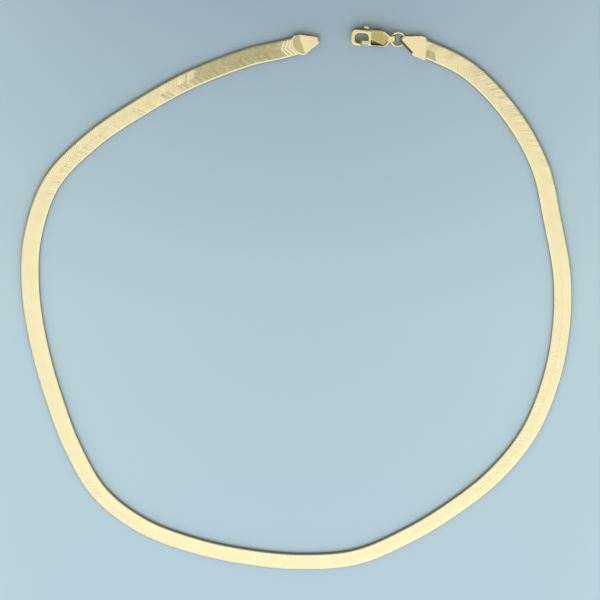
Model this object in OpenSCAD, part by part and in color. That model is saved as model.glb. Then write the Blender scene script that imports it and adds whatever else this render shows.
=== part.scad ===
// Flat herringbone necklace, 18 inches long, with two folded end caps, a jump ring and a
// trigger clasp. It lies open and unfastened on a flat surface at z = 0. The clasp and the
// caps are at +Y, the front of the loop at -Y, and the band's shining face looks up.

/* [Woven band] */
// Width of the woven band
band_w = 5; // [4:0.25:6]
// Thickness of the woven band
band_t = 0.9; // [0.7:0.05:1.2]
// Width of the rounded edge on each side of the band
band_edge = 0.45; // [0.3:0.05:0.6]
// Length over which the band sinks from a cap to the surface
settle_len = 13; // [8:1:16]

/* [End caps] */
// Thickness of the caps' folded sheet
cap_wall = 0.25; // [0.2:0.01:0.35]
// Gap between the band and the inside of a cap
cap_play = 0.05; // [0.03:0.01:0.08]
// Width of a cap's blunt tip
tip_w = 1.2; // [1.1:0.1:1.4]
// Angle between a cap's axis and its sloping side
taper_angle = 24; // [20:1:28]
// Length of band held inside a cap
cap_lap = 2.5; // [1.8:0.1:3.5]
// Radius of the catch end cap's back edge, as a share of the cap's width
catch_back_round = 0.58; // [0.52:0.02:3]
// Turn of the catch end cap's back edge across the band, in degrees
catch_back_skew = 6; // [-10:1:20]
// Radius of the clasp end cap's back edge, as a share of the cap's width
clasp_back_round = 2.2; // [0.6:0.1:3]
// Turn of the clasp end cap's back edge across the band, in degrees
clasp_back_skew = 19; // [-10:1:20]

/* [Jump ring] */
// Outside diameter of the jump ring
ring_od = 4.2; // [4.1:0.1:4.6]
// Diameter of the jump ring's wire
wire_d = 0.66; // [0.56:0.02:0.7]
// Gap between the ring's wire and the corner of the cap's fold
ring_gap = 0.05; // [0.04:0.01:0.1]
// Extra length of the slot in each cap behind the wire
slot_spare = 0.3; // [0.25:0.05:0.5]

/* [Clasp eye] */
// Outer radius of the eye
eye_r = 1.15; // [1:0.05:1.2]
// Gap between the ring's wire and the eye's bore
eye_play = 0.07; // [0.05:0.01:0.1]
// Length of the eye across the clasp
eye_len = 1.4; // [1.1:0.1:1.5]

/* [Clasp housing] */
// Distance from the centre of the eye to the end of the hook
clasp_len = 10.5; // [10:0.1:12]
// Thickness of the clasp
clasp_t = 2.4; // [2.1:0.1:2.8]
// Distance from the clasp's axis to its thumb side
thumb_side = 2.15; // [2:0.05:2.6]
// Distance from the clasp's axis to the gate side of the housing
gate_side = 2.3; // [2:0.1:2.6]
// Step from the housing's gate side in to the hook's gate side
hook_step = 0.15; // [0.1:0.05:0.4]
// Distance from the centre of the eye to the front edge of the housing
house_len = 6; // [5.6:0.1:6.4]
// Distance from the centre of the eye to the housing's shoulder on the gate side
shoulder_len = 2.1; // [2:0.1:2.6]
// How much further on the shoulder of the thumb side is
shoulder_skew = 0.8; // [0.2:0.1:1]
// Radius of the housing's shoulders
shoulder_round = 1.2; // [0.8:0.1:1.3]
// Width of the hook's bar on the thumb side
thumb_bar = 1.05; // [0.8:0.05:1.2]
// Width of the hook's bar on the gate side
side_bar = 0.7; // [0.6:0.05:0.9]
// Width of the hook's bar at its end
end_bar = 0.9; // [0.7:0.05:1]
// Outer corner radius of the hook
hook_corner = 1.5; // [1.2:0.1:1.6]
// Corner radius of the hook's opening
open_corner = 1.1; // [0.8:0.05:1.2]
// Narrowing of each face of the hook towards its end
hook_thinning = 0.25; // [0.1:0.05:0.4]
// Width and height of the rounding along the clasp's sides
edge_w = 0.45; // [0.2:0.05:0.5]
edge_h = 0.6; // [0.3:0.05:0.65]
// Width of the raised rim round the housing's face
rim_w = 0.4; // [0.3:0.05:0.5]
// Width of the raised bar along the housing's front edge
front_bar = 0.6; // [0.5:0.05:0.8]
// Depth of the sunk face inside the rim
face_sink = 0.25; // [0.1:0.05:0.35]
// Thickness of the walls beside the lever's chamber: on the thumb side and on the gate side
house_wall = 0.5; // [0.4:0.05:0.6]
gate_wall = 0.4; // [0.4:0.05:0.6]
// Width of the window in the sunk face, across the clasp
window_w = 1.25; // [0.7:0.05:1.3]

/* [Clasp lever] */
// Thickness of the lever
lever_t = 0.9; // [0.7:0.05:1]
// Gap over and under the lever
lever_play = 0.06; // [0.04:0.01:0.1]
// Distance from the centre of the eye to the pivot, along the clasp
pivot_x = 4.6; // [4.3:0.05:4.8]
// Distance from the clasp's axis to the pivot, towards the thumb side
pivot_off = 0.75; // [0.6:0.05:0.9]
// Radius of the lever's hub
hub_r = 0.65; // [0.6:0.05:0.75]
// Radius of the pivot pin
pin_r = 0.3; // [0.25:0.01:0.35]
// Clearance of the lever's bore round the pin
pin_play = 0.04; // [0.03:0.01:0.06]
// Clearance of the housing's bores round the pin
pin_seat = 0.01; // [0.01:0.01:0.02]
// Gap between the gate and what it closes against
gate_gap = 0.1; // [0.08:0.01:0.15]
// Width of the mouth between the housing and the hook's tip
mouth_w = 1.55; // [1.3:0.05:1.7]
// Width of the gate
gate_w = 1; // [0.8:0.05:1.2]
// Width of the thumb arm where it leaves the housing
arm_w = 1; // [0.8:0.05:1.1]
// Length of the thumb nub along the clasp
nub_len = 1.2; // [1:0.1:1.6]
// Height of the thumb nub off the housing's side
nub_h = 0.65; // [0.6:0.05:1.2]
// Swing of the lever from closed to open, in degrees
lever_swing = 22; // [18:1:24]

/* [Hidden] */

gold = "#e8d48a";
pale_gold = "#f0e0a8";
olive_gold = "#c8b878";
$fn = 64;
cut = 1;

// The band's middle line, from the clasp end's cap round the front to the catch end's cap.
// Columns: x, y and the roll, in degrees, that lifts the edge on the inside of the loop.
ROUTE = [
    [34, 70.9, 0],
    [46, 64.8, 0],
    [57, 53.5, 0],
    [64.9, 40.1, 0],
    [68.8, 25.6, 0],
    [72.1, 10, 0],
    [72.5, -5.5, 0],
    [70.2, -20.5, 0],
    [64.9, -35.2, 0],
    [55.8, -47.8, 0],
    [44, -58.1, 0],
    [31, -66.6, 0],
    [17, -72.9, 0],
    [1.5, -74.3, 0],
    [-14, -72.8, 0],
    [-29.1, -69.3, 0],
    [-43.7, -63.2, 0],
    [-55.4, -53.3, 0],
    [-62.6, -39.5, 0],
    [-67.3, -24.6, 0],
    [-70.7, -9.5, 0],
    [-72.3, 6, 0],
    [-71, 21.1, 0],
    [-65.3, 35.7, 0],
    [-54.4, 46.8, 0],
    [-41.5, 55.5, 0],
    [-28, 62.9, 3],
    [-13.5, 68.5, 4],
    [-4.7, 70.6, 3.5],
    [-1, 71.5, 0]
];
X = 0;
Y = 1;
ROLL = 2;
// Directions of the two caps, of the ring from its cap, of the eye from the ring and of the
// clasp, in degrees from +X
clasp_end_heading = 157.5;
catch_end_heading = 15.5;
ring_heading = 205;
eye_heading = 171;
clasp_heading = 177.5;
// Cross-sections of the band in each span of the route
STEPS = 6;
// Facets on each quarter of the band's rounded edge
EDGE_STEPS = 2;
// Facets on each rounded corner of the clasp's housing
ARC_STEPS = 6;

// Sizes that follow
cap_w = band_w + 2 * (cap_play + cap_wall);
cap_h = band_t + 2 * (cap_play + cap_wall);
taper_len = (cap_w - tip_w) / 2 / tan(taper_angle);
cap_nose = cap_play + taper_len;
cap_len = cap_lap + cap_nose;
wire_r = wire_d / 2;
ring_r = ring_od / 2 - wire_r;
fold_r = cap_h / 2 - cap_wall;
// The ring hangs off the fold's far corner, a gap away from it
ring_turn = ring_heading - clasp_end_heading;
fold_corner = [cap_wall, tip_w / 2 + cap_wall * tan(taper_angle)];
corner_along = fold_corner * heading(ring_turn);
ring_inner = ring_r - wire_r - ring_gap;
tip_to_ring = sqrt(ring_inner * ring_inner - fold_corner * fold_corner + corner_along * corner_along)
    - corner_along;
slot_len = ring_r + wire_r - tip_to_ring * cos(ring_turn) - cap_wall + slot_spare;
eye_z = clasp_t / 2;
slot_h = lever_t + 2 * lever_play;
hook_side = gate_side - hook_step;
pivot = [pivot_x, -pivot_off];
// The ring's wire passes the bore bowed and at an angle to it
bow_in_eye = ring_r - sqrt(ring_r * ring_r - eye_len * eye_len / 4);
eye_angle = abs(clasp_heading - eye_heading);
wire_slant = eye_angle + asin(eye_len / 2 / ring_r);
eye_bore_r = wire_r / cos(wire_slant) + eye_len / 2 * tan(eye_angle) + bow_in_eye / 2 + eye_play;
// Places along the clasp where its neck starts to widen and where the sunk face starts
neck_x = 0.7 * eye_bore_r;
face_x = eye_bore_r + rim_w;
mouth_end = [house_len + mouth_w, hook_side];
gate_reach = norm(mouth_end - pivot);
chamber_side = gate_side - gate_wall;
chamber_x = shoulder_len - shoulder_round / 4;
gate_outer = min(hook_side, chamber_side) - gate_gap;
// Place along the clasp where the thumb arm crosses the housing's side
arm_x = house_len;

function heading(a) = [cos(a), sin(a)];
function smooth(u) = u * u * (3 - 2 * u);
// Points along an arc from one direction to another
function arc(centre, r, from, to) =
    [for (k = [0 : ARC_STEPS]) centre + r * heading(from + (to - from) * k / ARC_STEPS)];
// Direction from a circle's centre to where a line from p, at its lower left, touches its top
function touching(p, centre, r) =
    let (back = p - centre, a = atan2(back.y, back.x))
    (a < 0 ? a + 360 : a) - acos(r / norm(back));
function place(i) = [ROUTE[i][X], ROUTE[i][Y]];

// Speed of the smooth curve through the route at point i
function speed(i) =
    i == 0 ? -heading(clasp_end_heading) * norm(place(1) - place(0)) :
    i == len(ROUTE) - 1 ? heading(catch_end_heading) * norm(place(i) - place(i - 1)) :
    (place(i + 1) - place(i - 1)) / 2;

function on_curve(i, u) =
    (2 * pow(u, 3) - 3 * u * u + 1) * place(i) + (pow(u, 3) - 2 * u * u + u) * speed(i)
    + (3 * u * u - 2 * pow(u, 3)) * place(i + 1) + (pow(u, 3) - u * u) * speed(i + 1);

function curve_speed(i, u) =
    6 * (u * u - u) * (place(i) - place(i + 1)) + (3 * u * u - 4 * u + 1) * speed(i)
    + (3 * u * u - 2 * u) * speed(i + 1);

function roll_at(i, u) = ROUTE[i][ROLL] + (ROUTE[i + 1][ROLL] - ROUTE[i][ROLL]) * smooth(u);

// A station is a point of the middle line, the direction across the band and the roll there.
function station(p, along, roll) = [p, [along.y, -along.x] / norm(along), roll];

start_dir = heading(clasp_end_heading);
end_dir = heading(catch_end_heading);
STATIONS = concat(
    [station(place(0) + start_dir * cap_lap, -start_dir, 0)],
    [for (i = [0 : len(ROUTE) - 2]) for (k = [0 : STEPS - 1])
        station(on_curve(i, k / STEPS), curve_speed(i, k / STEPS), roll_at(i, k / STEPS))],
    [station(place(len(ROUTE) - 1), end_dir, 0)],
    [station(place(len(ROUTE) - 1) + end_dir * cap_lap, end_dir, 0)]
);

// Outline of the band's cross-section: flat faces and rounded edges
PROFILE = [for (q = [0 : 3]) for (k = [0 : EDGE_STEPS])
    let (a = 90 * (q + k / EDGE_STEPS), sx = q == 0 || q == 3 ? 1 : -1)
    [sx * (band_w / 2 - band_edge) + band_edge * cos(a), band_t / 2 * sin(a)]];

// Height of the middle line: it rests on its lower edge, and rises to each cap's mouth
function resting(roll) = -min([for (p = PROFILE) p.x * sin(roll) + p.y * cos(roll)]);
function near_end(p) =
    smooth(max(0, 1 - min(norm(p - place(0)), norm(p - place(len(ROUTE) - 1))) / settle_len));
function in_cap(k) = k == 0 || k == len(STATIONS) - 1;
function height(k) =
    let (s = STATIONS[k], low = resting(s[2]), share = in_cap(k) ? 1 : near_end(s[0]))
    low + (cap_h / 2 - low) * share;

function ring_of(k) =
    let (s = STATIONS[k], h = height(k))
    [for (p = PROFILE)
        let (out = p.x * cos(s[2]) - p.y * sin(s[2]), up = p.x * sin(s[2]) + p.y * cos(s[2]))
        [s[0].x + s[1].x * out, s[0].y + s[1].y * out, h + up]];

module herringbone_band() {
    n = len(PROFILE);
    m = len(STATIONS);
    points = [for (k = [0 : m - 1]) each ring_of(k)];
    sides = [for (k = [0 : m - 2]) for (j = [0 : n - 1])
        let (a = k * n + j, b = k * n + (j + 1) % n)
        each [[a, b, b + n], [a, b + n, a + n]]];
    ends = [[for (j = [n - 1 : -1 : 0]) j], [for (j = [0 : n - 1]) (m - 1) * n + j]];
    color(pale_gold) polyhedron(points = points, faces = concat(sides, ends), convexity = 8);
}

// Plan of a cap, with x towards its tip and the band's end at x = 0. The back edge is an arc.
module cap_plan(back_round, back_skew) {
    back_r = back_round * cap_w;
    far = 2 * (cap_len + back_r);
    intersection() {
        polygon([[cap_nose, -tip_w / 2], [cap_nose, tip_w / 2], [cap_play, cap_w / 2],
                 [-far, cap_w / 2], [-far, -cap_w / 2], [cap_play, -cap_w / 2]]);
        translate([-cap_lap, 0]) rotate(back_skew) union() {
            translate([back_r, 0]) circle(r = back_r);
            translate([back_r, -far]) square([far, 2 * far]);
        }
    }
}

// A sheet folded round at its tip, with a slot behind the fold and a pocket for the band
module end_cap(back_round, back_skew) {
    fold_x = cap_nose - cap_h / 2;
    slot_back = cap_nose - cap_wall - slot_len;
    difference() {
        intersection() {
            linear_extrude(cap_h) cap_plan(back_round, back_skew);
            union() {
                translate([fold_x, 0, cap_h / 2]) rotate([90, 0, 0])
                    cylinder(r = cap_h / 2, h = 2 * cap_w, center = true);
                translate([-2 * cap_len, -cap_w, 0]) cube([2 * cap_len + fold_x, 2 * cap_w, cap_h]);
            }
        }
        translate([fold_x, 0, cap_h / 2]) rotate([90, 0, 0])
            cylinder(r = fold_r, h = 2 * cap_w, center = true);
        translate([slot_back, -cap_w, cap_wall]) cube([fold_x - slot_back, 2 * cap_w, 2 * fold_r]);
        translate([-2 * cap_len, -band_w / 2 - cap_play, cap_wall])
            cube([2 * cap_len + cap_play, band_w + 2 * cap_play, band_t + 2 * cap_play]);
    }
}

// Places of the pieces at the clasp's end, each from the one before it
clasp_band_end = place(0) + start_dir * cap_lap;
clasp_tip = place(0) + start_dir * cap_len;
ring_centre = clasp_tip + heading(ring_heading) * tip_to_ring;
clasp_eye = ring_centre + heading(eye_heading) * (ring_r - bow_in_eye / 2);
catch_band_end = place(len(ROUTE) - 1) + end_dir * cap_lap;

module end_cap_clasp() {
    color(gold) translate([clasp_band_end.x, clasp_band_end.y, 0])
        rotate(clasp_end_heading) end_cap(clasp_back_round, clasp_back_skew);
}

module end_cap_catch() {
    color(gold) translate([catch_band_end.x, catch_band_end.y, 0])
        rotate(catch_end_heading) end_cap(catch_back_round, catch_back_skew);
}

// The ring leans from the middle of the cap's fold up to the middle of the clasp's eye.
module jump_ring() {
    lean = asin((eye_z - cap_h / 2) / (2 * ring_r));
    color(gold) translate([ring_centre.x, ring_centre.y, (eye_z + cap_h / 2) / 2])
        rotate([0, -lean, eye_heading])
            rotate_extrude() translate([ring_r, 0]) circle(r = wire_r);
}

module rounded_box(low, high, r) {
    translate([low.x + r, low.y]) square([high.x - low.x - 2 * r, high.y - low.y]);
    translate([low.x, low.y + r]) square([high.x - low.x, high.y - low.y - 2 * r]);
    for (x = [low.x + r, high.x - r]) for (y = [low.y + r, high.y - r])
        translate([x, y]) circle(r = r);
}

// Plan of the clasp, with x from the eye towards the hook's end and y towards the gate
module clasp_plan() {
    open_low = [house_len, thumb_bar - thumb_side];
    open_high = [clasp_len - end_bar, hook_side - side_bar];
    difference() {
        rounded_box([house_len - 2 * hook_corner, -thumb_side], [clasp_len, hook_side], hook_corner);
        rounded_box(open_low, open_high, open_corner);
        intersection() {
            translate(pivot) circle(r = gate_reach);
            translate([house_len, open_high.y - open_corner])
                square([clasp_len, hook_side + open_corner]);
        }
    }
    housing_plan(neck_x, house_len, 0);
    translate([-eye_r, -eye_len / 2]) square([eye_r + shoulder_len, eye_len]);
}

// Plan of the housing from its neck, at x = start, to x = front, drawn in by inset all round
module housing_plan(start, front, inset) {
    neck = [start, (eye_len - inset) / 2];
    bend_r = shoulder_round - inset;
    gate_bend = [shoulder_len, gate_side - shoulder_round];
    thumb_bend = [shoulder_len + shoulder_skew, thumb_side - shoulder_round];
    corner = [front - rim_w, gate_side - inset - rim_w];
    polygon(concat(
        [[neck.x, -neck.y]],
        arc([thumb_bend.x, -thumb_bend.y], bend_r, -touching(neck, thumb_bend, bend_r), -90),
        [[front, inset - thumb_side]],
        arc(corner, rim_w, 0, 90),
        arc(gate_bend, bend_r, 90, touching(neck, gate_bend, bend_r)),
        [neck]
    ));
}

// Side view of the clasp: x along it, y up. The hook thins to its end, the neck to the eye.
module clasp_side() {
    translate([0, eye_z]) circle(r = eye_r);
    polygon([[0, eye_z - eye_r], [face_x, 0], [house_len, 0],
             [clasp_len, hook_thinning], [clasp_len, clasp_t - hook_thinning],
             [house_len, clasp_t], [face_x, clasp_t], [0, eye_z + eye_r]]);
}

// View along the clasp: x across it, towards the gate, y up. The long edges are rounded in two
// facets, and the sides are left to the plan.
module clasp_across() {
    facets = [[-edge_w, 0], [-0.3 * edge_w, 0.3 * edge_h], [0.15 * edge_w, 1.35 * edge_h]];
    last = len(facets) - 1;
    polygon(concat(
        [for (k = [0 : last]) [gate_side + facets[k].x, facets[k].y]],
        [for (k = [last : -1 : 0]) [gate_side + facets[k].x, clasp_t - facets[k].y]],
        [for (k = [0 : last]) [-thumb_side - facets[k].x, clasp_t - facets[k].y]],
        [for (k = [last : -1 : 0]) [-thumb_side - facets[k].x, facets[k].y]]
    ));
}

// Where a point of the lever's plan is when the lever has opened by a degrees
function swung(p, a) =
    pivot + [(p - pivot).x * cos(a) + (p - pivot).y * sin(a),
             (p - pivot).y * cos(a) - (p - pivot).x * sin(a)];

// Chamber that the lever moves in: open at the front, and at the thumb side for its swing
module lever_chamber() {
    wall_y = house_wall - thumb_side;
    arm_root = swung([pivot.x - 0.8 * hub_r, pivot.y], lever_swing);
    arm_back = swung([arm_x - arm_w / 2, -thumb_side], lever_swing);
    share = (arm_root.y - wall_y) / (arm_root.y - arm_back.y);
    slot_start = arm_root.x + share * (arm_back.x - arm_root.x) - 2 * gate_gap;
    slot_end = arm_x + arm_w / 2 + 4 * gate_gap;
    back_x = pivot.x - hub_r - 4 * gate_gap;
    polygon([[back_x, wall_y], [house_len + cut, wall_y], [house_len + cut, chamber_side],
             [chamber_x, chamber_side], [chamber_x, 0], [back_x, 0]]);
    translate([slot_start, -thumb_side - cut])
        square([slot_end - slot_start, thumb_side + cut - pivot_off]);
}

// Plan of the sunk face: inside the rim and behind the front bar
module sunk_face() {
    housing_plan(face_x, house_len - front_bar, rim_w);
}

// Three-cornered window beside the lever, through the upper plate alone
module window_plan() {
    side = chamber_side - gate_gap / 2;
    polygon([[house_len - front_bar - gate_gap, side - window_w],
             [house_len - front_bar - gate_gap, side], [chamber_x + gate_gap, side]]);
}

module on_clasp() {
    translate([clasp_eye.x, clasp_eye.y, 0]) rotate(clasp_heading) children();
}

module clasp_body() {
    color(gold) on_clasp() difference() {
        intersection() {
            linear_extrude(clasp_t) clasp_plan();
            rotate([90, 0, 0]) translate([0, 0, -2 * thumb_side])
                linear_extrude(4 * thumb_side) clasp_side();
            translate([-2 * eye_r, 0, 0]) rotate([90, 0, 90])
                linear_extrude(clasp_len + 4 * eye_r) clasp_across();
        }
        translate([0, 0, eye_z - slot_h / 2]) linear_extrude(slot_h) lever_chamber();
        translate([0, 0, clasp_t - face_sink]) linear_extrude(cut) sunk_face();
        translate([0, 0, face_sink - cut]) linear_extrude(cut) sunk_face();
        translate([0, 0, eye_z]) linear_extrude(clasp_t) window_plan();
        translate([0, 0, eye_z]) rotate([90, 0, 0])
            cylinder(r = eye_bore_r, h = 4 * eye_len, center = true);
        translate([pivot.x, pivot.y, -cut]) cylinder(r = pin_r + pin_seat, h = clasp_t + 2 * cut);
    }
}

module clasp_pin() {
    color(olive_gold) on_clasp() translate([pivot.x, pivot.y, face_sink])
        cylinder(r = pin_r, h = clasp_t - 2 * face_sink);
}

// Plan of the lever: hub, gate arm with a round nose, thumb arm and nub
module lever_plan() {
    nose_x = house_len + mouth_w + 2 * gate_gap;
    root_x = house_len - front_bar;
    nub_x = arm_x + gate_gap;
    nub_foot = -thumb_side - gate_gap;
    translate(pivot) circle(r = hub_r);
    intersection() {
        translate(pivot) circle(r = gate_reach - gate_gap);
        polygon([[pivot.x, pivot.y - hub_r / 2], [house_len, gate_outer - gate_w],
                 [nose_x, gate_outer - gate_w], [nose_x, gate_outer], [root_x, gate_outer],
                 [root_x, gate_outer - gate_w], [pivot.x - hub_r / 2, pivot.y + hub_r]]);
    }
    polygon([[pivot.x - 0.8 * hub_r, pivot.y], [arm_x - arm_w / 2, -thumb_side],
             [nub_x + gate_gap, nub_foot - nub_h / 4], [arm_x + arm_w / 2, nub_foot - nub_h / 4],
             [arm_x + arm_w / 2, -thumb_side], [pivot.x + 0.8 * hub_r, pivot.y]]);
    rounded_box([nub_x, nub_foot - nub_h], [nub_x + nub_len, nub_foot], nub_h / 4);
}

module clasp_lever() {
    color(olive_gold) on_clasp() difference() {
        translate([0, 0, eye_z - lever_t / 2]) linear_extrude(lever_t) lever_plan();
        translate([pivot.x, pivot.y, 0]) cylinder(r = pin_r + pin_play, h = clasp_t);
    }
}

herringbone_band();
end_cap_clasp();
end_cap_catch();
jump_ring();
clasp_body();
clasp_pin();
clasp_lever();
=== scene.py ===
import math

import bmesh
import bpy
import numpy as np
from mathutils import Matrix, Vector


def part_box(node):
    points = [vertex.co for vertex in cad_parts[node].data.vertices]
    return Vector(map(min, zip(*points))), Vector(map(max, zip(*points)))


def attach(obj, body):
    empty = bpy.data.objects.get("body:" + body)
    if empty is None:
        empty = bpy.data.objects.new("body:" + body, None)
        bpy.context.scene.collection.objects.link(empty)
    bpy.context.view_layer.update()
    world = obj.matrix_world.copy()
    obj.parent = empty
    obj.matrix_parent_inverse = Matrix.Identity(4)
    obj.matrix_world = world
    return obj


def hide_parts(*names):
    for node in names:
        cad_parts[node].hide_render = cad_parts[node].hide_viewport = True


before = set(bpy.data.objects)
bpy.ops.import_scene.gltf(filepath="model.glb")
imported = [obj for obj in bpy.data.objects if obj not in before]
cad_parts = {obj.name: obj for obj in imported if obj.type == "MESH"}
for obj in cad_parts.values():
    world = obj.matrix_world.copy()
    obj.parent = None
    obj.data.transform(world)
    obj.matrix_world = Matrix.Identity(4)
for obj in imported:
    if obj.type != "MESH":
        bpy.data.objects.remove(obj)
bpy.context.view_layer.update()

MM = 0.001

# Woven band: its middle line from the clasp end's cap round the front to the catch end's cap.
# Columns: x and y in metres, and the roll, in degrees, that lifts the edge on the inside.
ROUTE = [
    (0.034, 0.0709, 0),
    (0.046, 0.0648, 0),
    (0.057, 0.0535, 0),
    (0.0649, 0.0401, 0),
    (0.0688, 0.0256, 0),
    (0.0721, 0.01, 0),
    (0.0725, -0.0055, 0),
    (0.0702, -0.0205, 0),
    (0.0649, -0.0352, 0),
    (0.0558, -0.0478, 0),
    (0.044, -0.0581, 0),
    (0.031, -0.0666, 0),
    (0.017, -0.0729, 0),
    (0.0015, -0.0743, 0),
    (-0.014, -0.0728, 0),
    (-0.0291, -0.0693, 0),
    (-0.0437, -0.0632, 0),
    (-0.0554, -0.0533, 0),
    (-0.0626, -0.0395, 0),
    (-0.0673, -0.0246, 0),
    (-0.0707, -0.0095, 0),
    (-0.0723, 0.006, 0),
    (-0.071, 0.0211, 0),
    (-0.0653, 0.0357, 0),
    (-0.0544, 0.0468, 0),
    (-0.0415, 0.0555, 0),
    (-0.028, 0.0629, 3),
    (-0.0135, 0.0685, 4),
    (-0.0047, 0.0706, 3.5),
    (-0.001, 0.0715, 0),
]
CLASP_END_HEADING = math.radians(157.5)
CATCH_END_HEADING = math.radians(15.5)
BAND_W = 5 * MM
BAND_T = 0.9 * MM
SETTLE_LEN = 13 * MM
CAP_LAP = 2.5 * MM
CAP_H = 1.5 * MM

# Links of the band
LINK_PITCH = 0.5 * MM
LINK_GAP = 0.03 * MM
LINK_T = 0.2 * MM
LINK_BEVEL = 0.035 * MM
LINK_LEAN = LINK_PITCH
LINK_SLOPE = math.tan(math.radians(33))
FINGER_W = 0.16 * MM
FINGER_T = 0.12 * MM
# Pitches from the middle line's start to the first link, and how many fewer links than whole
# pitches there are
FIRST_LINK = -1
LINKS_FEWER = 3
# Links nearer the clasp end than this are pressed together, to this share, in the cap's pocket
POCKET_END = 0.2 * MM
POCKET_SHARE = 0.1
# The links' random tilts stay inside this margin of the band's form
LINK_MARGIN = 0.012 * MM
TILT_ALONG = math.radians(0.8)
TILT_ACROSS = math.radians(0.2)
# Random draws are cut off at this many times their spread
DRAW_LIMIT = 2
SEED = 7
# How dark the painted shade is on a link's side, near the face and at the back
LINK_SIDE_SHADE = 0.3
LINK_BACK_SHADE = 0.8
# Edges sharper than this stay sharp
SHARP_EDGE = math.radians(35)
# Links that lie otherwise than the band round them. Columns: side of the loop (1 is the inside),
# first and last distance from the end, in millimetres, 1 for every link or 2 for every second
# one, twist in degrees.
TWISTED_AT_CATCH = [
    (-1, 0.1, 3.2, 2, -5.5),
    (1, -0.7, 2.3, 2, -6.5),
]
TWISTED_AT_CLASP = [
    (1, -0.8, 2.2, 1, 4),
]
# Past these distances from the catch end, in millimetres, the links of each side lie flat again
FLAT_FROM = {-1: 27, 1: 31}
FLAT_SPREAD = 2
# Dents in the upper face. Columns: x and y, radius and depth, in metres.
DENTS = [
    (-0.0347, 0.059, 0.00045, 0.00010),
    (-0.0305, 0.0614, 0.00035, 0.00008),
    (-0.0279, 0.0621, 0.0004, 0.00010),
]

# Rounding of the cast and folded pieces: voxel size and rounds of smoothing
BODY_VOXEL = 0.07 * MM
BODY_ROUNDS = 8
LEVER_VOXEL = 0.05 * MM
LEVER_ROUNDS = 5
CAP_VOXEL = 0.06 * MM
CAP_ROUNDS = 4
ROUNDING_SHARE = 0.5
WELD_DISTANCE = 1e-8

# Places that the CAD source works out, repeated here for the looks
CLASP_T = 2.4 * MM
FACE_SINK = 0.25 * MM
CLASP_EYE = (0.0248, 0.073752)
CLASP_HEADING = math.radians(177.5)
CLASP_TIP = (0.02708, 0.073767)
EYE_HEADING = math.radians(171)
WIRE_D = 0.66 * MM
RING_R = 1.77 * MM
TIP_HALF_W = 0.6 * MM
TAPER = math.radians(24)
# Back edge of the catch end's cap: the arc's centre and radius
CATCH_ARC = (0.002022, 0.07269)
CATCH_ARC_R = 3.248 * MM

# Where each mask starts and where it is full, in metres.
# Clasp's sunk faces: depth below the outer face, distance from the eye, distance from the middle
SUNK_FROM = (0.1 * MM, FACE_SINK - 0.04 * MM)
SUNK_TO = (0.5 * MM, 0.42 * MM)
SUNK_FIRST = (0.9 * MM, 1.3 * MM)
SUNK_LAST = (5.35 * MM, 5.2 * MM)
SUNK_SIDE = (2 * MM, 1.8 * MM)
# Clasp's chamber: height from the middle, and the same distances
CHAMBER_HEIGHT = (0.62 * MM, 0.5 * MM)
CHAMBER_FIRST = (1.6 * MM, 1.7 * MM)
CHAMBER_LAST = (5.9 * MM, 5.6 * MM)
CHAMBER_SIDE = (1.85 * MM, 1.75 * MM)
# Distance of the housing's middle from the clasp's axis
HOUSE_OFFSET = 0.05 * MM
# Dark strip of painted shade along the sloping side of the clasp end's cap: distance from that side and
# from the tip
SLIT_DEPTH = (0.6 * MM, 0.46 * MM)
SLIT_FIRST = (0.1 * MM, 0.5 * MM)
SLIT_LAST = (4.6 * MM, 4.2 * MM)
# Crease across the catch end's cap: x and y, from the inside of the loop outwards
CREASE = [
    (0.0023, 0.0701),
    (0.0019, 0.0708),
    (0.0018, 0.0718),
    (0.00105, 0.0731),
    (0.001, 0.0747),
]
CREASE_BLUR = 0.12 * MM
# Height of the same cap's upper face, and the width of the rim of plain, bright colour along its back
# edge, which the painted shade leaves out
CAP_FACE = (0.85 * CAP_H, 0.95 * CAP_H)
RIM_W = 0.4 * MM
RIM_BLUR = 0.06 * MM
# Upright and crosswise parts of the normals of the side walls
WALL_UPRIGHT = (0.85, 0.6)
WALL_CROSSWISE = (0.92, 0.7)

# How dark the painted shade is on the side walls, in the chamber and in the strip along the cap's slope
WALL_SHADE = 0.85
CHAMBER_SHADE = 0.8
SLIT_SHADE = 0.9

# Jump ring: steps round the ring and round its wire, and the joint's place, spread, waist and shade
RING_STEPS = 160
WIRE_STEPS = 24
RING_JOINT = math.radians(80)
JOINT_SPREAD = 0.02
JOINT_WAIST = 0.1
JOINT_SHADE = 1.2


def heading(angle):
    return np.array([math.cos(angle), math.sin(angle)])


def set_mask(mesh, name, values):
    mask = mesh.attributes.new(name, "FLOAT", "POINT")
    mask.data.foreach_set("value", np.asarray(values, np.float32))


def points_of(mesh):
    places = np.empty(len(mesh.vertices) * 3)
    mesh.vertices.foreach_get("co", places)
    return places.reshape(-1, 3)


def side_walls(mesh):
    """1 on the long side walls, where painted shade goes, and 0 on the faces and the ends."""
    normals = np.empty(len(mesh.vertices) * 3)
    mesh.vertices.foreach_get("normal", normals)
    normals = np.abs(normals.reshape(-1, 3))
    return step(normals[:, 2], *WALL_UPRIGHT) * step(normals[:, 0], *WALL_CROSSWISE)


def step(value, start, full):
    """0 up to start, 1 from full on, and smooth between them. Start may be the larger."""
    return smooth(np.clip((value - start) / (full - start), 0, 1))


def smooth(u):
    return u * u * (3 - 2 * u)


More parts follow.
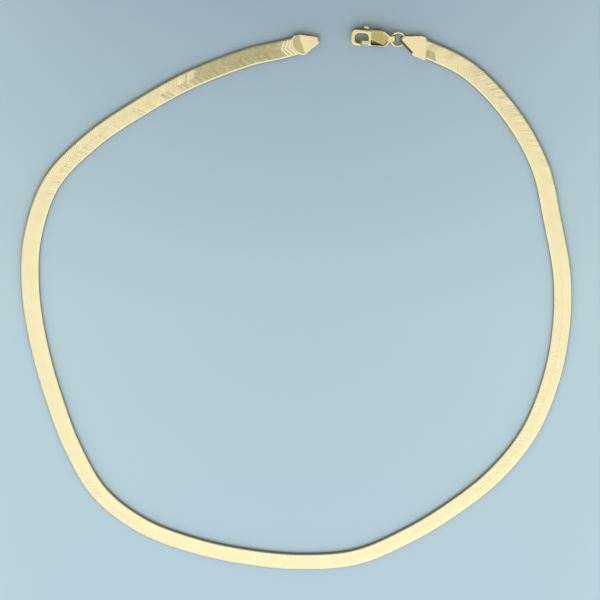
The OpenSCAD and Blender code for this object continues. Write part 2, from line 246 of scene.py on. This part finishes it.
class MiddleLine:
    """The band's middle line, as the CAD source sweeps it, with a place for each length along it."""

    STEPS = 48

    def __init__(self):
        points = np.array(ROUTE)[:, :2]
        rolls = np.radians(np.array(ROUTE, float)[:, 2])
        first = -heading(CLASP_END_HEADING) * np.linalg.norm(points[1] - points[0])
        last = heading(CATCH_END_HEADING) * np.linalg.norm(points[-1] - points[-2])
        speed = np.vstack([first, (points[2:] - points[:-2]) / 2, last])
        rows = [(*points[0] + heading(CLASP_END_HEADING) * CAP_LAP, 0.0)]
        for i in range(len(points) - 1):
            for u in np.arange(self.STEPS) / self.STEPS:
                p = (
                    (2 * u**3 - 3 * u**2 + 1) * points[i]
                    + (u**3 - 2 * u**2 + u) * speed[i]
                    + (3 * u**2 - 2 * u**3) * points[i + 1]
                    + (u**3 - u**2) * speed[i + 1]
                )
                rows.append((*p, rolls[i] + (rolls[i + 1] - rolls[i]) * smooth(u)))
        rows.append((*points[-1], rolls[-1]))
        rows.append((*points[-1] + heading(CATCH_END_HEADING) * CAP_LAP, 0.0))
        rows = np.array(rows)
        self.place = rows[:, :2]
        self.roll = rows[:, 2]
        steps = np.linalg.norm(np.diff(self.place, axis=0), axis=1)
        self.s = np.concatenate([[0], np.cumsum(steps)])
        self.length = self.s[-1]
        along = np.gradient(self.place, self.s, axis=0)
        self.along = along / np.linalg.norm(along, axis=1)[:, None]
        low = BAND_T / 2 + (BAND_W - BAND_T) / 2 * np.abs(np.sin(self.roll))
        from_end = np.minimum(self.s, self.length - self.s) - CAP_LAP
        share = smooth(np.clip(1 - from_end / SETTLE_LEN, 0, 1))
        self.height = low + (CAP_H / 2 - low) * share

    def at(self, s, column):
        return np.interp(s, self.s, column)

    def laid(self, s, across, up, twist):
        """Points given along, across and up from the middle line, as they lie on the surface."""
        roll = self.at(s, self.roll) + twist
        tx, ty = self.at(s, self.along[:, 0]), self.at(s, self.along[:, 1])
        out = across * np.cos(roll) - up * np.sin(roll)
        rise = across * np.sin(roll) + up * np.cos(roll)
        x = self.at(s, self.place[:, 0]) + ty * out
        y = self.at(s, self.place[:, 1]) - tx * out
        return np.stack([x, y, self.at(s, self.height) + rise], axis=-1)


LINE = MiddleLine()


def link_stations():
    """Stations round one link.

    Columns: across, up, lean share, width, thickness, direction out, darkness of the painted shade.
    """
    flat = BAND_T / 2 - LINK_T / 2 - LINK_MARGIN
    edge = BAND_W / 2 - BAND_T / 2 - LINK_MARGIN
    width = LINK_PITCH - LINK_GAP
    near = 0.05 * MM
    middle = 0.012 * MM
    before = edge - 0.12 * MM
    rows = [
        (edge, flat, 0, width, LINK_T, 84, 0),
        (before, flat, 0, width, LINK_T, 90, 0),
        (middle, flat, 0, width, LINK_T, 90, 0),
        # The fingers under the plates get painted shade
        (near, 0.2 * MM, 0, FINGER_W, FINGER_T, 150, 0.5),
        (-0.03 * MM, 0.11 * MM, 0.03, FINGER_W, FINGER_T, 110, 0.5),
        (-0.33 * MM, 0, 0.5, FINGER_W, FINGER_T, 180, 0.5),
        (-0.03 * MM, -0.11 * MM, 0.97, FINGER_W, FINGER_T, 250, 0.5),
        (near, -0.2 * MM, 1, FINGER_W, FINGER_T, 210, 0.5),
        (middle, -flat, 1, width, LINK_T, 270, 0),
        (before, -flat, 1, width, LINK_T, 270, 0),
        (edge, -flat, 1, width, LINK_T, 276, 0.2),
    ]
    # The rounded edge gets painted shade, darkest on the wall
    for angle, dark in ((-60, 0.9), (-30, 0.95), (0, 0.9), (30, 0.6), (60, 0)):
        a = math.radians(angle)
        lean = (1 - math.sin(a)) / 2
        round_edge = (edge + flat * math.cos(a), flat * math.sin(a))
        rows.append((*round_edge, lean, width, LINK_T, angle, dark))
    return np.array(rows)


def link_twists(starts, side, rng):
    """Twist of each link of one side, beyond the band's own roll."""
    from_clasp = (starts - CAP_LAP) / MM
    from_catch = (LINE.length - CAP_LAP - starts - LINK_SLOPE * BAND_W / 4) / MM
    draws = np.clip(rng.normal(size=len(starts)), -DRAW_LIMIT, DRAW_LIMIT)
    flat_from = FLAT_FROM[side] + FLAT_SPREAD * draws
    twist = np.where(from_catch > flat_from, -LINE.at(starts, LINE.roll), 0)
    order = np.arange(len(starts))
    for rows, distance in ((TWISTED_AT_CLASP, from_clasp), (TWISTED_AT_CATCH, from_catch)):
        for row_side, first, last, every, degrees in rows:
            chosen = (distance > first) & (distance < last) & (order % every == 0)
            if row_side == side:
                twist[chosen] = math.radians(degrees)
    return twist


def link_row(name, side):
    """One side's links, each hooked through two of the other side's under the middle line."""
    rng = np.random.default_rng(SEED + side)
    stations = link_stations()
    count = int(LINE.length / LINK_PITCH) - LINKS_FEWER
    starts = LINK_PITCH * (np.arange(count) + FIRST_LINK + (0 if side > 0 else 0.5))
    across, up, share, width, thick, out, dark = stations.T
    if side < 0:
        share = 1 - share
    lead = LINK_LEAN * share + LINK_SLOPE * np.clip(across, 0, None)
    bevel = LINK_BEVEL * width / width.max()
    # Cross-section: along the band, outwards, and darkness of the painted shade
    section = [
        (-width / 2 + bevel, thick / 2, 0),
        (width / 2 - bevel, thick / 2, 0),
        (width / 2, thick / 2 - bevel, LINK_SIDE_SHADE),
        (width / 2 - bevel, -thick / 2, LINK_BACK_SHADE),
        (-width / 2 + bevel, -thick / 2, LINK_BACK_SHADE),
        (-width / 2, thick / 2 - bevel, LINK_SIDE_SHADE),
    ]
    out = np.radians(out)
    ds = np.stack([lead + c[0] for c in section], axis=1)
    a = np.stack([across + c[1] * np.cos(out) for c in section], axis=1)
    z = np.stack([up + c[1] * np.sin(out) for c in section], axis=1)
    most_along = DRAW_LIMIT * TILT_ALONG
    most_across = DRAW_LIMIT * TILT_ACROSS
    pitch_tilt = np.clip(rng.normal(0, TILT_ALONG, count), -most_along, most_along)
    roll_tilt = np.clip(rng.normal(0, TILT_ACROSS, count), -most_across, most_across)
    shift = (ds - lead[:, None]) * pitch_tilt[:, None, None]
    shift = shift + (a - BAND_W / 4) * roll_tilt[:, None, None]
    z_all = z + np.clip(shift, -LINK_MARGIN, LINK_MARGIN)
    twist = link_twists(starts, side, rng)
    s_all = starts[:, None, None] + ds
    pressed = POCKET_END + POCKET_SHARE * (s_all - POCKET_END)
    s_all = np.where(s_all < POCKET_END, pressed, s_all)
    across_all = side * np.broadcast_to(a, s_all.shape)
    places = LINE.laid(s_all, across_all, z_all, twist[:, None, None])
    for x, y, radius, depth in DENTS:
        away = (places[..., 0] - x) ** 2 + (places[..., 1] - y) ** 2
        places[..., 2] -= (z > LINK_T / 2) * depth * np.exp(-away / (2 * radius**2))
    places = places.reshape(-1, 3)
    n, m = a.shape
    faces = []
    for j in range(n):
        for k in range(m):
            here, there = j * m, (j + 1) % n * m
            after = (k + 1) % m
            quad = [here + k, here + after, there + after, there + k]
            faces.append(quad if side < 0 else quad[::-1])
    faces = (np.array(faces)[None] + (np.arange(count) * n * m)[:, None, None]).reshape(-1, 4)
    mesh = bpy.data.meshes.new(name)
    mesh.from_pydata(places.tolist(), [], faces.tolist())
    set_mask(mesh, "link_tone", np.repeat(rng.random(count), n * m))
    # Painted shade on the links' walls, backs and fingers
    shade = np.maximum.outer(dark, [c[2] for c in section])
    set_mask(mesh, "link_shade", np.tile(shade.ravel(), count))
    mesh.polygons.foreach_set("use_smooth", [True] * len(mesh.polygons))
    mesh.set_sharp_from_angle(angle=SHARP_EDGE)
    piece = bpy.data.objects.new(name, mesh)
    scene.collection.objects.link(piece)
    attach(piece, "necklace")
    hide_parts("herringbone_band")
    return piece


def casting(name, nodes, body, voxel, rounds):
    """The nodes' solids as one skin with every edge rounded, as a polished casting has them."""
    whole = bmesh.new()
    for node in nodes:
        whole.from_mesh(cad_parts[node].data)
    bmesh.ops.remove_doubles(whole, verts=whole.verts, dist=WELD_DISTANCE)
    # The remesh works in millimetres
    bmesh.ops.scale(whole, vec=(1 / MM,) * 3, verts=whole.verts)
    rough = bpy.data.meshes.new(name)
    whole.to_mesh(rough)
    whole.free()
    piece = bpy.data.objects.new(name, rough)
    scene.collection.objects.link(piece)
    remesh = piece.modifiers.new("remesh", "REMESH")
    remesh.mode = "VOXEL"
    remesh.voxel_size = voxel / MM
    rounding = piece.modifiers.new("rounding", "SMOOTH")
    rounding.factor = ROUNDING_SHARE
    rounding.iterations = rounds
    shaped = piece.evaluated_get(bpy.context.evaluated_depsgraph_get())
    mesh = bpy.data.meshes.new_from_object(shaped)
    piece.modifiers.clear()
    piece.data = mesh
    mesh.transform(Matrix.Scale(MM, 4))
    mesh.polygons.foreach_set("use_smooth", [True] * len(mesh.polygons))
    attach(piece, body)
    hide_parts(*nodes)
    return piece


def in_frame(places, origin, angle):
    """Places seen from origin along a heading: distance along it and to its left."""
    along = heading(angle)
    away = places[:, :2] - origin
    return away @ along, away @ np.array([-along[1], along[0]])


def finish_body(mesh):
    """Masks of the clasp's body: painted shade as a darker tone on the sunk faces, and painted shade
    inside the chamber and on the side walls.
    """
    places = points_of(mesh)
    u, v = in_frame(places, CLASP_EYE, CLASP_HEADING)
    z = places[:, 2]
    depth = np.minimum(z, CLASP_T - z)
    from_middle = np.abs(v - HOUSE_OFFSET)
    # Painted shade: a darker tone on the sunk faces
    sunk = step(depth, *SUNK_FROM) * step(depth, *SUNK_TO)
    sunk = sunk * step(u, *SUNK_FIRST) * step(u, *SUNK_LAST)
    sunk = sunk * step(from_middle, *SUNK_SIDE)
    set_mask(mesh, "sunk", sunk)
    inside = step(np.abs(z - CLASP_T / 2), *CHAMBER_HEIGHT)
    inside = inside * step(u, *CHAMBER_FIRST) * step(u, *CHAMBER_LAST)
    inside = inside * step(from_middle, *CHAMBER_SIDE)
    # Painted shade inside the chamber and on the side walls
    set_mask(mesh, "joint_and_painted_shade", np.maximum(CHAMBER_SHADE * inside, WALL_SHADE * side_walls(mesh)))


def finish_clasp_cap(mesh):
    """The clasp end's cap gets a dark strip of painted shade along its sloping side towards the ring,
    and painted shade on its side walls.
    """
    places = points_of(mesh)
    u, v = in_frame(places, CLASP_TIP, CLASP_END_HEADING)
    from_side = (TIP_HALF_W - u * math.tan(TAPER) - v) * math.cos(TAPER)
    # Painted shade: a dark strip along the sloping side
    painted_slit_shade = step(from_side, *SLIT_DEPTH) * step(-u, *SLIT_FIRST) * step(-u, *SLIT_LAST)
    set_mask(mesh, "sunk", np.zeros(len(places)))
    set_mask(mesh, "joint_and_painted_shade", np.maximum(SLIT_SHADE * painted_slit_shade, WALL_SHADE * side_walls(mesh)))


def finish_catch_cap(mesh):
    """The catch end's cap: painted shade as a darker tone behind its crease, up to a rim of plain,
    bright colour along its back edge.
    """
    places = points_of(mesh)
    x, y, z = places.T
    crease = np.interp(y, [row[1] for row in CREASE], [row[0] for row in CREASE])
    # Painted shade: a darker tone behind the crease
    shade_behind_crease = step(crease - x, -CREASE_BLUR, CREASE_BLUR) * step(z, *CAP_FACE)
    from_arc = CATCH_ARC_R - np.hypot(x - CATCH_ARC[0], y - CATCH_ARC[1])
    shade_behind_crease = shade_behind_crease * step(from_arc, RIM_W - RIM_BLUR, RIM_W + RIM_BLUR)
    set_mask(mesh, "sunk", shade_behind_crease)
    # Painted shade on the side walls
    set_mask(mesh, "joint_and_painted_shade", WALL_SHADE * side_walls(mesh))


def drawn_ring():
    """The jump ring: round wire bent to a circle, with the dark line where its ends meet."""
    low, high = (np.array(c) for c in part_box("jump_ring"))
    centre = (low + high) / 2
    turns = np.linspace(0, 2 * math.pi, RING_STEPS, endpoint=False)
    round_wire = np.linspace(0, 2 * math.pi, WIRE_STEPS, endpoint=False)
    joint = np.exp(-(((turns - RING_JOINT) / JOINT_SPREAD) ** 2))
    radius = WIRE_D / 2 * (1 - JOINT_WAIST * joint)[:, None]
    reach = RING_R + radius * np.cos(round_wire)
    x = reach * np.cos(turns)[:, None]
    y = reach * np.sin(turns)[:, None]
    flat = np.stack([x, y, radius * np.sin(round_wire)], axis=-1).reshape(-1, 3)
    lean = -math.asin((CLASP_T - CAP_H) / 2 / (2 * RING_R))
    turn = Matrix.Rotation(EYE_HEADING, 3, "Z") @ Matrix.Rotation(lean, 3, "Y")
    places = flat @ np.array(turn).T + centre
    n, m = len(turns), len(round_wire)
    faces = [
        (i * m + j, (i + 1) % n * m + j, (i + 1) % n * m + (j + 1) % m, i * m + (j + 1) % m)
        for i in range(n) for j in range(m)
    ]
    mesh = bpy.data.meshes.new("ring_wire")
    mesh.from_pydata(places.tolist(), [], faces)
    mesh.polygons.foreach_set("use_smooth", [True] * len(mesh.polygons))
    # The ring's dark joint line, a real mark, goes in the same mask as the painted shade
    set_mask(mesh, "joint_and_painted_shade", np.repeat(np.clip(JOINT_SHADE * joint, 0, 1), m))
    piece = bpy.data.objects.new("ring_wire", mesh)
    scene.collection.objects.link(piece)
    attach(piece, "necklace")
    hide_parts("jump_ring")
    return piece


scene = bpy.context.scene
scene.view_settings.view_transform = "Standard"


def add_camera():
    target = Vector((0.001, 0.003, 0))
    tilt = math.radians(15)
    distance = 0.40953
    camera = bpy.data.objects.new("camera", bpy.data.cameras.new("camera"))
    scene.collection.objects.link(camera)
    camera.data.lens = 90
    camera.data.clip_start = 0.01
    camera.location = target + Vector((0, math.sin(tilt), math.cos(tilt))) * distance
    camera.rotation_euler = (-tilt, 0, 0)
    scene.camera = camera


class Nodes:
    """Short calls that add and link the nodes of one tree."""

    def __init__(self, tree):
        self.tree = tree

    def add(self, kind, **values):
        node = self.tree.nodes.new(kind)
        for key, value in values.items():
            setattr(node, key, value)
        return node

    def link(self, source, target):
        self.tree.links.new(source, target)

    def math(self, operation, *inputs):
        node = self.add("ShaderNodeMath", operation=operation)
        for socket, value in zip(node.inputs, inputs):
            if isinstance(value, (int, float)):
                socket.default_value = value
            else:
                self.link(value, socket)
        return node.outputs[0]

    def ramp(self, value, stops):
        """Each stop is a place and a colour, or a number for a grey."""
        node = self.add("ShaderNodeValToRGB")
        elements = node.color_ramp.elements
        while len(elements) < len(stops):
            elements.new(0.5)
        for element, (place, colour) in zip(elements, stops):
            element.position = place
            element.color = (*colour, 1) if isinstance(colour, tuple) else (*[colour] * 3, 1)
        self.link(value, node.inputs["Fac"])
        return node.outputs["Color"]

    def noise(self, vector, scale, detail, distortion=0.0):
        node = self.add("ShaderNodeTexNoise")
        node.inputs["Scale"].default_value = scale
        node.inputs["Detail"].default_value = detail
        node.inputs["Distortion"].default_value = distortion
        self.link(vector, node.inputs["Vector"])
        return node.outputs["Fac"]

    def mix(self, share, first, second):
        node = self.add("ShaderNodeMix", data_type="RGBA")
        self.link(share, node.inputs[0])
        # Sockets 6 and 7 are the node's two colours, and output 2 is the mixed colour
        for socket, colour in ((node.inputs[6], first), (node.inputs[7], second)):
            if isinstance(colour, tuple):
                socket.default_value = (*colour, 1)
            else:
                self.link(colour, socket)
        return node.outputs[2]


# Worn gold: scales of its noises, and the direction, stretch and bend of its scratches
SLOW_SCALE = 260
FINE_SCALE = 9000
SCRATCH_SCALE = 1400
SCRATCH_TURN = math.radians(35)
SCRATCH_STRETCH = 14
SCRATCH_BEND = 0.4
# The part of the scratches' noise that makes lines
SCRATCH_STOPS = [(0.5, 0), (0.62, 1)]
# What the fine noise, the scratches and the shade add to the roughness
FINE_ROUGHNESS = 0.06
SCRATCH_ROUGHNESS = 0.12
SHADE_ROUGHNESS = 0.3
# Dark brown of the painted shade, and of the ring's joint line
SHADE_COLOUR = (0.045, 0.026, 0.012)
BUMP_DEPTH = 0.000004


def worn_gold_and_shade_group():
    """Worn polished gold: tone that varies slowly, fine scratches, a bump from both, and a dark colour
    mixed in by the Shade input: painted shade, and on the ring its dark joint line.
    """
    group = bpy.data.node_groups.new("worn_gold_and_painted_shade", "ShaderNodeTree")
    face = group.interface
    for name, kind in (("Colour", "NodeSocketColor"), ("Deep", "NodeSocketColor"),
                       ("Tone", "NodeSocketFloat"), ("Tone share", "NodeSocketFloat"),
                       ("Shade", "NodeSocketFloat"), ("Roughness", "NodeSocketFloat"),
                       ("Scratch", "NodeSocketFloat")):
        face.new_socket(name, in_out="INPUT", socket_type=kind)
    for name, kind in (("Colour", "NodeSocketColor"), ("Roughness", "NodeSocketFloat"),
                       ("Normal", "NodeSocketVector")):
        face.new_socket(name, in_out="OUTPUT", socket_type=kind)
    n = Nodes(group)
    given = n.add("NodeGroupInput").outputs
    made = n.add("NodeGroupOutput").inputs
    place = n.add("ShaderNodeTexCoord").outputs["Object"]
    slow = n.noise(place, SLOW_SCALE, detail=2)
    fine = n.noise(place, FINE_SCALE, detail=3)
    stretch = n.add("ShaderNodeMapping")
    stretch.inputs["Rotation"].default_value = (0, 0, SCRATCH_TURN)
    stretch.inputs["Scale"].default_value = (1, SCRATCH_STRETCH, 1)
    n.link(place, stretch.inputs["Vector"])
    scratches = n.noise(stretch.outputs["Vector"], SCRATCH_SCALE, detail=4, distortion=SCRATCH_BEND)
    lines = n.ramp(scratches, SCRATCH_STOPS)
    slow_share = n.math("SUBTRACT", 1.0, given["Tone share"])
    slow_tone = n.math("MULTIPLY", slow, slow_share)
    tone = n.math("MULTIPLY_ADD", given["Tone"], given["Tone share"], slow_tone)
    colour = n.mix(tone, given["Colour"], given["Deep"])
    n.link(n.mix(given["Shade"], colour, SHADE_COLOUR), made["Colour"])
    rough = n.math("MULTIPLY_ADD", fine, FINE_ROUGHNESS, given["Roughness"])
    scratched = n.math("MULTIPLY", lines, given["Scratch"])
    rough = n.math("MULTIPLY_ADD", scratched, SCRATCH_ROUGHNESS, rough)
    n.link(n.math("MULTIPLY_ADD", given["Shade"], SHADE_ROUGHNESS, rough), made["Roughness"])
    bump = n.add("ShaderNodeBump")
    bump.inputs["Distance"].default_value = BUMP_DEPTH
    n.link(given["Scratch"], bump.inputs["Strength"])
    n.link(n.math("ADD", lines, fine), bump.inputs["Height"])
    n.link(bump.outputs["Normal"], made["Normal"])
    return group


WORN_GOLD_AND_SHADE = worn_gold_and_shade_group()


def gold(name, colour, deep, roughness, scratch, tone="", tone_share=0.0, shade=""):
    """A gold of its own colours; tone and shade name the mesh attributes that vary it. Shade mixes in
    painted shade, and on the ring the dark joint line; the caps' and the clasp's deep colours are
    painted shade too.
    """
    material = bpy.data.materials.new(name)
    material.use_nodes = True
    n = Nodes(material.node_tree)
    shader = material.node_tree.nodes["Principled BSDF"]
    shader.inputs["Metallic"].default_value = 1
    worn_and_shade = n.add("ShaderNodeGroup", node_tree=WORN_GOLD_AND_SHADE)
    worn_and_shade.inputs["Colour"].default_value = (*colour, 1)
    worn_and_shade.inputs["Deep"].default_value = (*deep, 1)
    worn_and_shade.inputs["Roughness"].default_value = roughness
    worn_and_shade.inputs["Scratch"].default_value = scratch
    worn_and_shade.inputs["Tone share"].default_value = tone_share
    for socket, attribute in (("Tone", tone), ("Shade", shade)):
        if attribute:
            read = n.add("ShaderNodeAttribute", attribute_name=attribute)
            n.link(read.outputs["Fac"], worn_and_shade.inputs[socket])
        else:
            worn_and_shade.inputs[socket].default_value = 0
    n.link(worn_and_shade.outputs["Colour"], shader.inputs["Base Color"])
    n.link(worn_and_shade.outputs["Roughness"], shader.inputs["Roughness"])
    n.link(worn_and_shade.outputs["Normal"], shader.inputs["Normal"])
    return material


# How bright the room is from the south (0) over the top to the north (1)
ROOM = [
    (0.0, (0.84, 0.89, 1.15)),
    (0.15, (1.08, 1.12, 1.4)),
    (0.29, (1.4, 1.46, 1.48)),
    (0.3, (1.25, 1.24, 1.22)),
    (0.32, (1.12, 1.1, 1.08)),
    (0.36, (1.2, 1.2, 1.2)),
    (0.4, (1.22, 1.21, 1.22)),
    (0.43, (1.13, 1.1, 1.08)),
    (0.455, (1.0, 0.97, 0.9)),
    (0.475, (0.7, 0.71, 0.61)),
    (0.5, (0.42, 0.44, 0.37)),
    (0.56, (0.33, 0.35, 0.33)),
    (0.65, (0.3, 0.32, 0.33)),
    (1.0, (0.28, 0.3, 0.32)),
]


def add_world():
    world = bpy.data.worlds.new("room")
    world.use_nodes = True
    n = Nodes(world.node_tree)
    background = world.node_tree.nodes["Background"]
    direction = n.add("ShaderNodeTexCoord").outputs["Generated"]
    split = n.add("ShaderNodeSeparateXYZ")
    n.link(direction, split.inputs[0])
    northness = n.math("MULTIPLY_ADD", split.outputs["Y"], 0.5, 0.5)
    n.link(n.ramp(northness, ROOM), background.inputs["Color"])
    background.inputs["Strength"].default_value = 1
    scene.world = world


FLOOR_HALF_W = 1.5
# Floor's colours from the south to the north, this many shares of the way per metre: painted light,
# darker towards the north as the light from the south falls off
FLOOR_COLOURS = [
    (0.0, (0.68, 0.87, 0.95)),
    (0.5, (0.64, 0.83, 0.85)),
    (1.0, (0.42, 0.54, 0.61)),
]
FLOOR_NORTHWARD = 5.0
# Paler colour that the floor turns to at its sides, how fast, and up to what share
FLOOR_SIDE_COLOUR = (0.8, 1.0, 1.0)
FLOOR_SIDEWARD = 7.0
FLOOR_SIDE_SHARE = 0.5


def add_floor():
    mesh = bpy.data.meshes.new("floor")
    corners = [(FLOOR_HALF_W * x, FLOOR_HALF_W * y, 0) for x, y in ((-1, -1), (1, -1), (1, 1), (-1, 1))]
    mesh.from_pydata(corners, [], [(0, 1, 2, 3)])
    floor = bpy.data.objects.new("floor", mesh)
    scene.collection.objects.link(floor)
    material = bpy.data.materials.new("floor")
    material.use_nodes = True
    n = Nodes(material.node_tree)
    shader = material.node_tree.nodes["Principled BSDF"]
    split = n.add("ShaderNodeSeparateXYZ")
    n.link(n.add("ShaderNodeTexCoord").outputs["Object"], split.inputs[0])
    share = n.math("MULTIPLY_ADD", split.outputs["Y"], FLOOR_NORTHWARD, 0.5)
    colour = n.ramp(share, FLOOR_COLOURS)
    sides = n.math("MULTIPLY", n.math("ABSOLUTE", split.outputs["X"]), FLOOR_SIDEWARD)
    side_share = n.math("MINIMUM", n.math("MULTIPLY", sides, sides), FLOOR_SIDE_SHARE)
    n.link(n.mix(side_share, colour, FLOOR_SIDE_COLOUR), shader.inputs["Base Color"])
    shader.inputs["Roughness"].default_value = 0.9
    shader.inputs["Specular IOR Level"].default_value = 0
    mesh.materials.append(material)


band_gold = gold("band_gold", (0.97, 0.88, 0.56), (0.94, 0.84, 0.5), 0.15, 0.5,
                 tone="link_tone", tone_share=0.5, shade="link_shade")
# The caps' deep colour is a darker copy of their gold, for the painted shade behind the catch cap's
# crease
cap_gold = gold("cap_gold", (1.0, 0.87, 0.52), (0.57, 0.53, 0.27), 0.15, 0.8,
                tone="sunk", tone_share=0.9, shade="joint_and_painted_shade")
wire_gold = gold("wire_gold", (0.94, 0.8, 0.43), (0.9, 0.74, 0.36), 0.12, 0.5, shade="joint_and_painted_shade")
# The clasp's deep colour is a darker copy of its gold, for the painted shade of the sunk faces
clasp_gold = gold("clasp_gold", (0.96, 0.85, 0.42), (0.53, 0.47, 0.2), 0.15, 0.8,
                  tone="sunk", tone_share=0.9, shade="joint_and_painted_shade")
lever_gold = gold("lever_gold", (0.88, 0.76, 0.4), (0.82, 0.7, 0.34), 0.26, 0.8)

for name, side in (("links_inner", 1), ("links_outer", -1)):
    link_row(name, side).data.materials.append(band_gold)
cast_body = casting("clasp_casting", ("clasp_body", "clasp_pin"), "necklace",
                    BODY_VOXEL, BODY_ROUNDS)
cast_body.data.materials.append(clasp_gold)
finish_body(cast_body.data)
cast_lever = casting("lever_casting", ("clasp_lever",), "lever",
                     LEVER_VOXEL, LEVER_ROUNDS)
cast_lever.data.materials.append(lever_gold)
for end, finish in (("clasp", finish_clasp_cap), ("catch", finish_catch_cap)):
    cap = casting(f"folded_cap_{end}", (f"end_cap_{end}",), "necklace",
                  CAP_VOXEL, CAP_ROUNDS)
    cap.data.materials.append(cap_gold)
    finish(cap.data)
drawn_ring().data.materials.append(wire_gold)
for name, material in (("end_cap_clasp", cap_gold), ("end_cap_catch", cap_gold),
                       ("jump_ring", wire_gold), ("clasp_body", clasp_gold),
                       ("clasp_pin", clasp_gold), ("clasp_lever", lever_gold),
                       ("herringbone_band", band_gold)):
    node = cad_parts[name]
    node.data.materials.clear()
    node.data.materials.append(material)

add_camera()
add_floor()
add_world()
